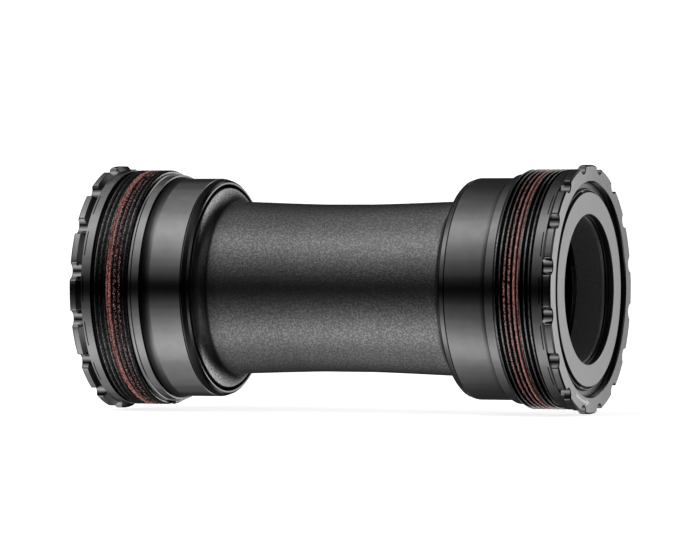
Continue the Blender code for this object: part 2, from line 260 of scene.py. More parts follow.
@titled
class BracketStageSizes(bpy.types.PropertyGroup):
    """The camera and the studio."""

    azimuth: degrees("Turn of the camera round the object", 21.48)
    elevation: degrees("Height of the camera above the horizon", 0.8)
    distance: length("Distance from the camera to the object", 1.109)
    focal: amount("Focal length in picture widths", FOCAL_PIXELS / IMAGE_WIDTH)
    aim_side: length("How far left of the middle the camera aims", 0.00024)
    aim_up: length("How far above the spindle the camera aims", 0.00163)
    light: amount("Strength of the studio light", 3.2)
    card_light: amount("Brightness of the card behind", 1.1)
    card_distance: length("Distance from the drive rim face to the card behind", 0.2)
    card_width: length("Width of the card behind", 0.2)
    card_edge: length("How far the card reaches past the middle of the face's reflection", 0.006)
    floor_radius: length("Radius of the pale sweep under and round the object", 2.4)


class Wire:
    """A node's output that joins in Python sums, each sum adding one Math node."""

    def __init__(self, graph, socket):
        self.graph = graph
        self.socket = socket

    def also(self, output):
        """Another output of the same node."""
        return Wire(self.graph, self.socket.node.outputs[output])

    def __add__(self, other):
        return self.graph.math("ADD", self, other)

    def __radd__(self, other):
        return self.graph.math("ADD", other, self)

    def __sub__(self, other):
        return self.graph.math("SUBTRACT", self, other)

    def __rsub__(self, other):
        return self.graph.math("SUBTRACT", other, self)

    def __mul__(self, other):
        return self.graph.math("MULTIPLY", self, other)

    def __truediv__(self, other):
        return self.graph.math("DIVIDE", self, other)

    def __neg__(self):
        return self.graph.math("MULTIPLY", self, -1.0)

    def __abs__(self):
        return self.graph.math("ABSOLUTE", self)


class Graph:
    """A node tree that is written down as a list of nodes."""

    def __init__(self, tree):
        self.tree = tree

    def add(self, kind, settings=None, inputs=None, output=0):
        """Adds a node of that kind, sets it up, then fills or links its inputs, and gives one output."""
        node = self.tree.nodes.new(kind)
        for name, value in (settings or {}).items():
            if name == "stops":
                self.set_stops(node.color_ramp, value)
            else:
                setattr(node, name, value)
        for key, value in (inputs or {}).items():
            if isinstance(value, Wire):
                self.tree.links.new(value.socket, node.inputs[key])
            else:
                node.inputs[key].default_value = value
        return Wire(self, node.outputs[output]) if len(node.outputs) else node

    def set_stops(self, ramp, stops):
        """A grey ramp with these (place, level) stops."""
        ramp.interpolation = "EASE"
        while len(ramp.elements) > 1:
            ramp.elements.remove(ramp.elements[-1])
        for index, (place, level) in enumerate(stops):
            stop = ramp.elements[0] if index == 0 else ramp.elements.new(place)
            stop.position = place
            stop.color = (level, level, level, 1.0)

    def math(self, operation, first, second=0.0):
        """A sum of one or two values."""
        return self.add("ShaderNodeMath", {"operation": operation}, {0: first, 1: second})

    def place(self):
        """Where a point lies in its own object."""
        return self.add("ShaderNodeTexCoord", output="Object")

    def noise(self, place, scale, detail=2.0, roughness=0.5):
        """Soft noise from 0 to 1, so many waves to the metre."""
        return self.add("ShaderNodeTexNoise", {"noise_dimensions": "3D"},
                        {"Vector": place, "Scale": scale, "Detail": detail, "Roughness": roughness})

    def lines(self, path, scale, detail):
        """Fine lines across a path, so many to the metre."""
        inputs = {"W": path, "Scale": scale, "Detail": detail}
        return self.add("ShaderNodeTexNoise", {"noise_dimensions": "1D"}, inputs)

    def blend(self, factor, low, high):
        """A colour between two colours."""
        inputs = {0: factor, 6: low, 7: high}
        return self.add("ShaderNodeMix", {"data_type": "RGBA"}, inputs, 2)

    def span(self, value, low, high, to_low=0.0, to_high=1.0):
        """Eases a value from one range to another and keeps it there."""
        inputs = {"Value": value, "From Min": low, "From Max": high, "To Min": to_low, "To Max": to_high}
        return self.add("ShaderNodeMapRange", {"interpolation_type": "SMOOTHSTEP"}, inputs)

    def bump(self, height, strength, distance):
        """A normal tilted by a height map."""
        inputs = {"Strength": strength, "Distance": distance, "Height": height}
        return self.add("ShaderNodeBump", None, inputs)

    def gate(self, value, rise, fall):
        """Rises from 0 to 1 over one range and falls again over another."""
        return self.span(value, *rise) * self.span(value, *fall, 1.0, 0.0)

    def surface(self, inputs):
        """A surface with these inputs."""
        return self.add("ShaderNodeBsdfPrincipled", None, inputs)


def rgba(values, share=1.0):
    """A colour with its alpha, darkened or lightened by a share."""
    return tuple(value * share for value in values[:3]) + (1.0,)


def make_material(name, write):
    """A material whose surface is the shader that write adds to its graph."""
    material = bpy.data.materials.new(name)
    material.use_nodes = True
    material.node_tree.nodes.clear()
    graph = Graph(material.node_tree)
    shader = write(graph)
    graph.add("ShaderNodeOutputMaterial", None, {"Surface": shader})
    return material


def turning(graph):
    """The place of a point, how far along the spindle it lies and how far from it."""
    place = graph.place()
    along = graph.add("ShaderNodeSeparateXYZ", None, {0: place})
    across = graph.add("ShaderNodeVectorMath", {"operation": "MULTIPLY"}, {0: place, 1: (0.0, 1.0, 1.0)})
    radius = graph.add("ShaderNodeVectorMath", {"operation": "LENGTH"}, {0: across}, "Value")
    return place, along, radius


def anodised_surface(graph, tint, level):
    """Satin black anodising over fine turning lines and a blasted grain, its tint scaled by a level."""
    place, along, radius = turning(graph)
    feed = graph.lines(along + radius, 7000.0, 1.0)
    grain = graph.noise(place, 9000.0)
    cloud = graph.noise(place, 420.0, 3.0)
    return graph.surface({
        "Base Color": graph.blend((0.42 + cloud * 0.16) * level, BLACK, rgba(tint, 2.0)),
        "Metallic": 1.0,
        "Roughness": 0.11 + cloud * 0.01 + grain * 0.05,
        "Normal": graph.bump(grain * 0.7 + feed * 0.3, 0.5, 0.0000012),
    })


def anodised_material(colours, sizes):
    """The cups' finish, with a fine dark line painted in the collar behind each tooth."""
    core, fringe, strength = 0.00008, 0.00015, 0.95
    below, surface = sizes.collar_radius - 0.0003, sizes.collar_radius - 0.0001

    def write(graph):
        _, along, radius = turning(graph)
        off = abs(RIM_FACE - abs(along) - sizes.scribe)
        angle = graph.math("ARCTAN2", along.also("Y"), along.also("Z"))
        teeth = graph.span(graph.math("COSINE", angle * sizes.notch_count), -0.25, -0.1)
        # Painted: a fine dark line in the collar behind each tooth, which darkens the anodised tint there
        line = graph.span(off, core, fringe, 1.0, 0.0) * teeth * graph.span(radius, below, surface)
        return anodised_surface(graph, colours.anodised, 1.0 - line * strength)

    return make_material("anodised_black", write)


def thread_material(colours, sizes, side):
    """Cut thread in the cups' finish, with a band of dried thread lock over three turns, painted glints in
    the lock and painted highlight on the nondrive crests.
    """
    begin, thick, reach, dull, strength, light = LOCKS[side]
    pitch = sizes.thread_pitch
    first = sizes.thread_start + begin * pitch
    last = first + LOCK_TURNS * pitch
    high = sizes.thread_crest - reach

    def write(graph):
        place, along, radius = turning(graph)
        depth = RIM_FACE - abs(along)
        speckle = graph.noise(place, 2800.0, 2.0, 0.6)
        fleck = graph.noise(place, 4400.0, 1.0)
        patches = graph.noise(place, 700.0)
        ragged = depth + (patches - 0.5) * 0.0003
        band = graph.gate(ragged, (first, first + LOCK_EDGE), (last, last + LOCK_EDGE))
        fresh = graph.span(depth, first + 0.95 * pitch, first + 1.05 * pitch, 1.0, 0.0)
        flakes = graph.span(speckle + patches * 0.3 + fresh * 0.22 + thick, 0.63, 0.70)
        proud = graph.span(radius + fresh * 0.00026, high - 0.00004, high + 0.00004)
        dry = graph.blend(fresh, dull, rgba(colours.thread_lock, strength))
        body = graph.blend(graph.span(fleck, 0.43, 0.53), LOCK_DARK, dry)
        # Pale spots where the fleck noise is high are painted glints on the dried lock
        body = graph.blend(graph.span(fleck, 0.58, 0.68) * 0.8, body, LOCK_GLINT)
        # The metal's tint varies at random with the speckle up to the side's level; the nondrive side's
        # higher level is painted highlight on its crests
        metal = anodised_surface(graph, colours.anodised, graph.span(speckle, 0.40, 0.60, 0.5, light))
        lock = graph.surface({
            "Base Color": body,
            "Roughness": 0.26 + speckle * 0.2,
            "Normal": graph.bump(speckle, 0.8, 0.00003),
            "Specular IOR Level": 0.8,
        })
        return graph.add("ShaderNodeMixShader", None, {0: band * flakes * proud, 1: metal, 2: lock})

    return make_material(side + "_thread_lock", write)


def moulded_material(name, tint, scale, depth, roughness, level=0.5, flecked=False):
    """Moulded plastic or rubber with a spark eroded tool's grain, its peaks shinier where it is flecked."""

    def write(graph):
        place = graph.place()
        grain = graph.noise(place, scale, 3.0, 0.6)
        cloud = graph.noise(place, 260.0)
        look = {
            "Base Color": graph.blend(grain, rgba(tint, 0.75), rgba(tint, 1.25)),
            "Roughness": roughness - 0.05 + cloud * 0.06 + grain * 0.04,
            "Normal": graph.bump(grain, 1.0, depth),
            "Specular IOR Level": level,
        }
        plain = graph.surface(look)
        if not flecked:
            return plain
        look.update({"Specular IOR Level": 1.0, "Coat Weight": 0.55, "Coat Roughness": roughness})
        flecks = graph.span(graph.noise(place, 2700.0, 1.0), 0.43, 0.63)
        return graph.add("ShaderNodeMixShader", None, {0: flecks, 1: plain, 2: graph.surface(look)})

    return make_material(name, write)


def ground_material(name, tint, roughness):
    """Ground steel with fine circular lines."""

    def write(graph):
        place, along, radius = turning(graph)
        lines = graph.lines(along + radius, 16000.0, 2.0)
        stain = graph.noise(place, 700.0)
        return graph.surface({
            "Base Color": graph.blend(stain, rgba(tint, 0.9), rgba(tint, 1.08)),
            "Metallic": 1.0,
            "Roughness": roughness + lines * 0.08,
            "Normal": graph.bump(lines, 0.3, 0.000001),
        })

    return make_material(name, write)


def print_material(tint):
    """Screen printed ink, a little uneven."""

    def write(graph):
        wear = graph.noise(graph.place(), 6000.0)
        shade = graph.blend(wear, rgba(tint, 0.8), rgba(tint, 1.1))
        return graph.surface({"Base Color": shade, "Roughness": 0.5 + wear * 0.1})

    return make_material("printed_white", write)


def rounded_outline(corners, steps=3):
    """A closed outline of (depth, radius, rounding) corners, each rounded one an arc between two stays."""
    support, least_stay, edge_share = 0.00004, 0.000005, 0.45
    nearly_straight = radians(89)
    points = []
    for index, (depth, radius, rounding) in enumerate(corners):
        here = Vector((depth, radius))
        before = Vector(corners[index - 1][:2]) - here
        after = Vector(corners[(index + 1) % len(corners)][:2]) - here
        half = before.angle(after) / 2
        if rounding <= 0 or half > nearly_straight:
            points.append(here)
            continue
        room = edge_share * min(before.length, after.length)
        reach = min(rounding / tan(half), room)
        true_rounding = reach * tan(half)
        before.normalize()
        after.normalize()
        centre = here + (before + after).normalized() * (true_rounding / sin(half))
        start = here + before * reach - centre
        sweep = pi - 2 * half
        if start.cross(here + after * reach - centre) < 0:
            sweep = -sweep
        stay = min(support, room - reach)
        if stay > least_stay:
            points.append(here + before * (reach + stay))
        for step in range(steps + 1):
            turn = sweep * step / steps
            cosine, sine = cos(turn), sin(turn)
            spoke = (start.x * cosine - start.y * sine, start.x * sine + start.y * cosine)
            points.append(centre + Vector(spoke))
        if stay > least_stay:
            points.append(here + after * (reach + stay))
    return points


def even_angles(count):
    """Angles evenly round a full turn."""
    return [2 * pi * step / count for step in range(count)]


def skin(name, rings, ends="joined"):
    """A mesh over rings of points, the last ring joined to the first, or both of them capped or left open."""
    count = len(rings[0])
    faces = []
    for index in range(len(rings) if ends == "joined" else len(rings) - 1):
        here = index * count
        there = (index + 1) % len(rings) * count
        for step in range(count):
            following = (step + 1) % count
            faces.append((here + step, here + following, there + following, there + step))
    if ends == "capped":
        last = (len(rings) - 1) * count
        faces += [tuple(range(count)), tuple(range(last, last + count))]
    mesh = bpy.data.meshes.new(name)
    mesh.from_pydata([point for ring in rings for point in ring], [], faces)
    return clean(mesh)


def clean(mesh):
    """Merges doubles, turns the faces outward and shades them smooth up to the smooth angle."""
    work = bmesh.new()
    work.from_mesh(mesh)
    bmesh.ops.remove_doubles(work, verts=work.verts, dist=0.0000005)
    bmesh.ops.dissolve_degenerate(work, edges=work.edges, dist=0.0000002)
    bmesh.ops.recalc_face_normals(work, faces=work.faces)
    for face in work.faces:
        face.smooth = True
    work.to_mesh(mesh)
    work.free()
    if not mesh.polygons:
        raise RuntimeError(mesh.name + " came out empty")
    mesh.set_sharp_from_angle(angle=SMOOTH_ANGLE)
    return mesh


def turned(name, outline, angles, start=RIM_FACE, limit=None):
    """A ring turned about the spindle from (depth, radius) points, within limit(step, depth) if any."""
    rings = []
    for depth, radius in outline:
        ring = []
        for step, angle in enumerate(angles):
            reach = radius if limit is None else min(radius, limit(step, depth))
            ring.append((start - depth, reach * sin(angle), reach * cos(angle)))
        rings.append(ring)
    return skin(name, rings)


def add_piece(name, mesh, turn, body, nodes, material):
    """Puts a finished mesh in the scene as one piece that rides on a body."""
    mesh.name = name
    mesh.transform(turn)
    mesh.materials.clear()
    mesh.materials.append(material)
    piece = bpy.data.objects.new(name, mesh)
    bpy.context.scene.collection.objects.link(piece)
    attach(piece, body)
    if nodes:
        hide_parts(*nodes)


def add_pair(suffix, outline, steps, body, node, material):
    """One turned piece on each side."""
    for side, turn in SIDES:
        mesh = turned(suffix, outline, even_angles(steps))
        add_piece(side + "_" + suffix, mesh, turn, side + "_" + body, [side + "_" + node], material)


def geometry_tree(name, sizes, write):
    """A geometry node tree with named inputs, its shape as write adds it, realised and given its material."""
    tree = bpy.data.node_groups.new(name, "GeometryNodeTree")
    for title, kind in sizes.items():
        tree.interface.new_socket(name=title, in_out="INPUT", socket_type=kind)
    tree.interface.new_socket(name="Material", in_out="INPUT", socket_type="NodeSocketMaterial")
    tree.interface.new_socket(name="Geometry", in_out="OUTPUT", socket_type="NodeSocketGeometry")
    graph = Graph(tree)
    given = graph.add("NodeGroupInput")
    shape = write(graph, given)
    real = graph.add("GeometryNodeRealizeInstances", None, {"Geometry": shape})
    smooth = graph.add("GeometryNodeSetShadeSmooth", None, {"Geometry": real})
    dressed = graph.add("GeometryNodeSetMaterial", None,
                        {"Geometry": smooth, "Material": given.also("Material")})
    graph.add("NodeGroupOutput", None, {"Geometry": dressed})
    return tree


def grow(tree, values, base=None):
    """Runs a geometry node tree on a base mesh and gives the result as a plain mesh."""
    host = bpy.data.objects.new(tree.name, base or bpy.data.meshes.new(tree.name))
    bpy.context.scene.collection.objects.link(host)
    modifier = host.modifiers.new(tree.name, "NODES")
    modifier.node_group = tree
    for item in tree.interface.items_tree:
        if item.in_out == "INPUT" and item.name in values:
            modifier[item.identifier] = values[item.name]
    graph = bpy.context.evaluated_depsgraph_get()
    mesh = bpy.data.meshes.new_from_object(host.evaluated_get(graph), depsgraph=graph)
    host.modifiers.remove(modifier)
    bpy.data.objects.remove(host)
    return clean(mesh)


def write_thread(graph, given):
    """A helix with a sharp ridge along it that tapers off at both ends."""
    turns = given.also("Turns")
    helix = graph.add("GeometryNodeCurveSpiral", None,
                      {"Resolution": 96, "Rotations": turns, "Start Radius": given.also("Root"),
                       "End Radius": given.also("Root"), "Height": turns * given.also("Pitch"),
                       "Reverse": given.also("Left hand")})
    helix = graph.add("GeometryNodeSetCurveNormal", {"mode": "Z_UP"}, {"Curve": helix})
    share = graph.add("GeometryNodeSplineParameter", output="Factor")
    ends = turns * (0.5 - abs(share - 0.5)) / given.also("Run out")
    helix = graph.add("GeometryNodeSetCurveRadius", None,
                      {"Curve": helix, "Radius": graph.span(ends, 0.0, 1.0, 0.06, 1.0)})
    ridge = graph.add("GeometryNodeCurvePrimitiveQuadrilateral", {"mode": "TRAPEZOID"},
                      {"Height": given.also("Height"), "Bottom Width": given.also("Pitch"),
                       "Top Width": given.also("Top"), "Offset": 0.0})
    ridge = graph.add("GeometryNodeFilletCurve", {"mode": "POLY"},
                      {"Curve": ridge, "Count": 2, "Radius": given.also("Pitch") * 0.04})
    return graph.add("GeometryNodeCurveToMesh", None,
                     {"Curve": helix, "Profile Curve": ridge, "Fill Caps": True})


def write_balls(graph, given):
    """A ring of balls in the plane across the spindle."""
    circle = graph.add("GeometryNodeMeshCircle", None,
                       {"Vertices": given.also("Count"), "Radius": given.also("Pitch radius")})
    ball = graph.add("GeometryNodeMeshUVSphere", None,
                     {"Segments": 24, "Rings": 12, "Radius": given.also("Ball radius")})
    return graph.add("GeometryNodeInstanceOnPoints", None, {"Points": circle, "Instance": ball})


def write_cage(graph, given):
    """The cage's ring with a round pocket cut through it for each ball."""
    circle = graph.add("GeometryNodeMeshCircle", None,
                       {"Vertices": given.also("Count"), "Radius": given.also("Pitch radius")})
    drill = graph.add("GeometryNodeMeshCylinder", None,
                      {"Vertices": 28, "Radius": given.also("Pocket radius"),
                       "Depth": given.also("Pitch radius") * 0.3})
    outward = graph.add("FunctionNodeAlignEulerToVector", {"axis": "Z"},
                        {"Vector": graph.add("GeometryNodeInputPosition")})
    drills = graph.add("GeometryNodeInstanceOnPoints", None,
                       {"Points": circle, "Instance": drill, "Rotation": outward})
    drills = graph.add("GeometryNodeRealizeInstances", None, {"Geometry": drills})
    return graph.add("GeometryNodeMeshBoolean", {"operation": "DIFFERENCE"},
                     {"Mesh 1": given.also("Ring"), "Mesh 2": drills})


def notched_edge(sizes):
    """Angles round the rim and the rim's radius at each, with a tooth at the top."""
    lip, hollow, centre = sizes.notch_lip, sizes.notch_radius, sizes.notch_centre
    inner = RIM_RADIUS - lip
    lean = acos((centre ** 2 + inner ** 2 - (hollow + lip) ** 2) / (2 * centre * inner))
    corner = Vector((inner * cos(lean), inner * sin(lean)))
    middle = Vector((centre, 0.0))
    touch = (corner - middle).normalized()
    swing = atan2(touch.y, -touch.x)
    hollow_steps, lip_steps, land_steps = 6, 4, 3
    half = []
    for step in range(hollow_steps + 1):
        turn = swing * step / hollow_steps
        half.append(middle + Vector((-cos(turn), sin(turn))) * hollow)
    away = atan2(-touch.y, -touch.x)
    for step in range(1, lip_steps + 1):
        turn = away + (lean - away) * step / lip_steps
        half.append(corner + Vector((cos(turn), sin(turn))) * lip)
    half = [(atan2(point.y, point.x), point.length) for point in half]
    pitch = 2 * pi / sizes.notch_count
    for step in range(1, land_steps + 1):
        half.append((lean + (pitch / 2 - lean) * step / land_steps, RIM_RADIUS))
    whole = [(-angle, radius) for angle, radius in reversed(half[1:-1])] + half
    angles = [(notch + 0.5) * pitch + angle for notch in range(sizes.notch_count) for angle, _ in whole]
    return angles, [radius for _, radius in whole] * sizes.notch_count


def cup_outline(sizes, side):
    """The section of a cup, from the opening in its face round the outside to the bearing's seat."""
    bend, steepest = getattr(sizes, side + "_foot"), getattr(sizes, side + "_slope")
    face, chamfer, foot = sizes.face_inset, sizes.rim_chamfer, sizes.barrel_radius
    ease, hold, sweep_steps = 0.00004, 0.00008, 10
    undercut = sizes.pilot_end + sizes.foot_groove
    sweep = []
    for step in range(sweep_steps + 1):
        turn = steepest * (1 - step / sweep_steps)
        depth = undercut + abs(bend) * (sin(steepest) - sin(turn))
        sweep.append((depth, foot + bend * (1 - cos(turn)), 0.0))
    floor = sweep[0][1] - 0.0002
    return rounded_outline([
        (face, sizes.seat_radius + sizes.opening_chamfer, 0.00003),
        (face, RIM_RADIUS - chamfer - hold, 0.0),
        (face, RIM_RADIUS - chamfer, 0.0),
        (face + hold, RIM_RADIUS - chamfer + hold, 0.0),
        (face + chamfer, RIM_RADIUS, 0.00005),
        (sizes.rim_back, RIM_RADIUS, 0.00009),
        (sizes.collar_start, sizes.collar_radius - ease, 0.0),
        (sizes.collar_start + ease, sizes.collar_radius, 0.0),
        (sizes.collar_end, sizes.collar_radius, ease),
        (sizes.collar_end + ease, sizes.relief_radius, hold),
        (sizes.thread_start + 0.0001, sizes.relief_radius, 0.0),
        (sizes.thread_start + 0.0003, sizes.thread_root, 0.0),
        (sizes.thread_end, sizes.thread_root, 0.0),
        (sizes.thread_end + 0.0001, sizes.pilot_radius, ease),
        (sizes.pilot_end, sizes.pilot_radius, 0.00002),
        (sizes.pilot_end + 0.00002, floor, 0.00005),
        (undercut - 0.00005, floor, ease),
        *sweep,
        (sizes.barrel_end - 0.00016, foot, ease),
        (sizes.barrel_end, foot - sizes.mouth_line, 0.00003),
        (sizes.barrel_end + 0.00012, foot - ease, ease),
        (MOUTH_DEPTH - 0.0004, sizes.mouth_radius, sizes.mouth_round),
        (MOUTH_DEPTH, sizes.mouth_radius - 0.00042, 0.00005),
        (MOUTH_DEPTH, sizes.socket_radius + 0.0001, ease),
        (MOUTH_DEPTH - 0.00012, sizes.socket_radius, ease),
        (sizes.socket_end, sizes.socket_radius, 0.0002),
        (sizes.socket_end, sizes.shoulder_radius, 0.0001),
        (sizes.seat_end, sizes.shoulder_radius, 0.0001),
        (sizes.seat_end, sizes.seat_radius, 0.0001),
        (face + sizes.opening_chamfer, sizes.seat_radius, 0.00003),
    ])


def printed_strip(name, stations, top, bottom):
    """A closed strip of ink along (angle, radius, half width) stations on a face across the spindle."""
    rings = []
    for angle, radius, half in stations:
        low, high = radius - half, radius + half
        corners = ((top, low), (top, high), (bottom, high), (bottom, low))
        rings.append([(along, reach * sin(angle), reach * cos(angle)) for along, reach in corners])
    return skin(name, rings, "capped")


class BRACKET_OT_cups(bpy.types.Operator):
    """Turns both cups, with their notched rims, collars, barrels and bearing seats"""

    bl_idname = "bracket.cups"
    bl_label = "Cups"

    def execute(self, context):
        sizes = context.scene.bracket_cup
        angles, radii = notched_edge(sizes)
        deburr = 0.00007
        notch_end = sizes.collar_start + 0.00001

        def limit(step, depth):
            if depth > notch_end:
                return RIM_RADIUS
            return radii[step] - (deburr - min(depth - sizes.face_inset, deburr))

        material = anodised_material(context.scene.bracket_colours, sizes)
        for side, turn in SIDES:
            stand = sizes.nondrive_turn if side == "nondrive" else 0.0
            mesh = turned("cup_turned", cup_outline(sizes, side), angles, limit=limit)
            add_piece(side + "_cup_turned", mesh, turn @ Matrix.Rotation(stand, 4, "X"), side + "_cup",
                      [side + "_cup"], material)
        return {"FINISHED"}


class BRACKET_OT_threads(bpy.types.Operator):
    """Cuts the fine thread round each cup, left handed on the drive side, with its band of thread lock"""

    bl_idname = "bracket.threads"
    bl_label = "Threads"

    def execute(self, context):
        sizes = context.scene.bracket_cup
        pitch = sizes.thread_pitch
        titles = dict.fromkeys(("Turns", "Pitch", "Root", "Height", "Top", "Run out"), NUMBER)
        tree = geometry_tree("thread_ridge", {**titles, "Left hand": "NodeSocketBool"}, write_thread)
        start = sizes.thread_end - pitch / 4
        sunk = 0.0001
        height = sizes.thread_crest - sizes.thread_root + sunk
        values = {"Turns": (start - sizes.thread_start) / pitch, "Pitch": pitch, "Height": height,
                  "Root": sizes.thread_crest - height / 2, "Run out": 0.2}
        shift = Matrix.Translation((RIM_FACE - start, 0.0, 0.0))
        quarter = Matrix.Rotation(pi / 2, 4, "Y")
        for side, turn in SIDES:
            drive = side == "drive"
            material = thread_material(context.scene.bracket_colours, sizes, side)
            values.update({"Top": getattr(sizes, side + "_crest"), "Left hand": drive, "Material": material})
            lead = Matrix.Rotation(pi if drive else 0.0, 4, "X")
            add_piece(side + "_cup_thread", grow(tree, values), turn @ shift @ lead @ quarter, side + "_cup",
                      [], material)
        return {"FINISHED"}


class BRACKET_OT_sleeve(bpy.types.Operator):
    """Moulds the centre sleeve with its drafted waist, flared bells and O-ring grooves"""

    bl_idname = "bracket.sleeve"
    bl_label = "Centre sleeve"

    def execute(self, context):
        sizes = context.scene.bracket_sleeve
        middle = (RING_LOW.x + RING_HIGH.x) / 2
        groove_start, groove_end = middle - sizes.groove_half, middle + sizes.groove_half
        lean, steep = sizes.flare_lean, sizes.flare_steep
        bend = (sizes.flare_radius - sizes.neck_radius) / (cos(lean) - cos(steep))
        waist_steps, flare_steps = 8, 12
        taper = sizes.neck - 0.0004 - sizes.plain_half
        flare_foot = sizes.neck_radius + 0.00006
        right = [(sizes.plain_half, sizes.waist_radius)]
        for step in range(1, waist_steps + 1):
            share = step / waist_steps
            swell = (sizes.neck_radius - sizes.waist_radius) * share ** 1.2
            right.append((sizes.plain_half + taper * share, sizes.waist_radius + swell))
        for step in range(flare_steps + 1):
            turn = lean + (steep - lean) * step / flare_steps
            right.append((sizes.neck + bend * (sin(turn) - sin(lean)),
                          flare_foot + bend * (cos(lean) - cos(turn))))
        brim = right[-1][1] + 0.00012
        land = groove_start - 0.0005
        bell = [
            (right[-1][0] + 0.0002, brim, 0.00014),
            (land - 0.0002, brim, 0.0001),
            (land, SLEEVE_RIM, 0.0001),
            (groove_start, SLEEVE_RIM, 0.00008),
            (groove_start, sizes.groove_floor, 0.0001),
            (groove_end, sizes.groove_floor, 0.0001),
            (groove_end, SLEEVE_RIM, 0.00008),
            (SLEEVE_END, SLEEVE_RIM, 0.0004),
            (SLEEVE_END, sizes.bell_bore, 0.0003),
            (sizes.neck + 0.0015, sizes.bell_bore, 0.002),
            (sizes.neck - 0.004, sizes.bore_radius + 0.0005, 0.002),
        ]
        closing = [(0.0, sizes.bore_radius, 0.0), (0.0, sizes.waist_radius, 0.0), right[-1] + (0.0,)]
        outer = right + [tuple(point) for point in rounded_outline(bell + closing, 4)[:-len(closing)]]
        left = [(-along, radius) for along, radius in outer]
        outline = left + [(0.0, sizes.bore_radius)] + outer[::-1]
        mesh = turned("sleeve_moulded", outline, even_angles(160), start=0.0)
        material = moulded_material("sleeve_plastic", context.scene.bracket_colours.sleeve, scale=3000.0,
                                    depth=0.00004, roughness=0.25, level=0.77, flecked=True)
        add_piece("sleeve_moulded", mesh, Matrix.Identity(4), "sleeve",
                  ["center_sleeve"], material)
        return {"FINISHED"}


class BRACKET_OT_covers(bpy.types.Operator):
    """Makes the flat dust cover in each rim"""

    bl_idname = "bracket.covers"
    bl_label = "Dust covers"

    def execute(self, context):
        sizes = context.scene.bracket_bearing
        outline = rounded_outline([
            (COVER_FRONT, sizes.cover_bore, 0.00022),
            (COVER_FRONT, COVER_RADIUS, 0.00018),
            (COVER_BACK, COVER_RADIUS, 0.0001),
            (COVER_BACK, sizes.cover_bore, 0.0001),
        ], 4)
        material = moulded_material("cover_black", context.scene.bracket_colours.cover, scale=6500.0,
                                    depth=0.0000015, roughness=0.30, level=0.8)
        add_pair("cover_pressed", outline, FINE_STEPS, "spindle_set", "dust_cover", material)
        return {"FINISHED"}


class BRACKET_OT_seals(bpy.types.Operator):
    """Moulds the rubber pieces: lip seals, wipers, bearing seals and sleeve O-rings"""

    bl_idname = "bracket.seals"
    bl_label = "Rubber seals"

    def execute(self, context):
        sizes = context.scene.bracket_bearing
        material = moulded_material("seal_rubber", context.scene.bracket_colours.rubber, scale=5200.0,
                                    depth=0.000003, roughness=0.42)
        base = LIP_BACK - 0.0006
        lip = rounded_outline([
            (LIP_FRONT, sizes.lip_bore + 0.00004, 0.00006),
            (LIP_FRONT, sizes.lip_bore + 0.00022, 0.00006),
            (base, sizes.lip_bore + 0.00042, 0.0002),
            (base, LIP_RADIUS - 0.00025, 0.00015),
            (base - 0.00025, LIP_RADIUS - 0.00012, 0.00006),
            (base - 0.00025, LIP_RADIUS, 0.00005),
            (LIP_BACK, LIP_RADIUS, 0.0001),
            (LIP_BACK, sizes.lip_bore, 0.0001),
        ])
        add_pair("lip_moulded", lip, FINE_STEPS, "cup", "lip_seal", material)
        middle = (WIPER_FRONT + WIPER_BACK) / 2
        wiper = rounded_outline([
            (WIPER_FRONT, sizes.wiper_bore + 0.0003, 0.0001),
            (WIPER_FRONT, WIPER_RADIUS, 0.0001),
            (WIPER_BACK, WIPER_RADIUS, 0.0001),
            (WIPER_BACK, sizes.wiper_bore + 0.0003, 0.0001),
            (middle, sizes.wiper_bore, 0.00012),
        ])
        add_pair("wiper_moulded", wiper, PLAIN_STEPS, "spindle_set", "spindle_wiper", material)
        for place in ("outboard", "inboard"):
            front, back, radius = span("drive_" + place + "_bearing_seal")
            bore, recess = sizes.cage_bore, front + 0.00012
            outline = rounded_outline([
                (front, bore, 0.0001), (front, bore + 0.0005, 0.00005),
                (recess, bore + 0.0006, 0.00005), (recess, radius - 0.0004, 0.00005),
                (front, radius - 0.0003, 0.00005), (front, radius, 0.0001),
                (back, radius, 0.0001), (back, bore, 0.0001),
            ], 2)
            add_pair(place + "_seal_moulded", outline, PLAIN_STEPS, "cup", place + "_bearing_seal",
                     material)
        half = (RING_HIGH.x - RING_LOW.x) / 2
        centre = RIM_FACE - (RING_LOW.x + RING_HIGH.x) / 2
        section = [(centre - half * cos(turn), RING_HIGH.z - half + half * sin(turn))
                   for turn in even_angles(20)]
        add_pair("o_ring_moulded", section, FINE_STEPS, "o_ring", "sleeve_o_ring", material)
        return {"FINISHED"}


class BRACKET_OT_bushes(bpy.types.Operator):
    """Makes the textured bush that lines each bearing"""

    bl_idname = "bracket.bushes"
    bl_label = "Spindle bushes"

    def execute(self, context):
        sizes = context.scene.bracket_bearing
        outline = rounded_outline([
            (BUSH_FRONT, sizes.spindle_radius + 0.00025, 0.00006),
            (BUSH_FRONT, BUSH_RADIUS, 0.00006),
            (BUSH_BACK, BUSH_RADIUS, 0.00008),
            (BUSH_BACK, sizes.spindle_radius + 0.0001, 0.00005),
            (BUSH_BACK - 0.0002, sizes.spindle_radius, 0.00005),
            (BUSH_FRONT + 0.0003, sizes.spindle_radius, 0.00005),
        ])
        # The bush's light grey is partly painted light for the shaded bore
        material = moulded_material("bush_plastic", context.scene.bracket_colours.bush, scale=2800.0,
                                    depth=0.00006, roughness=0.45, flecked=True)
        add_pair("bush_moulded", outline, FINE_STEPS, "spindle_set", "spindle_bush", material)
        return {"FINISHED"}


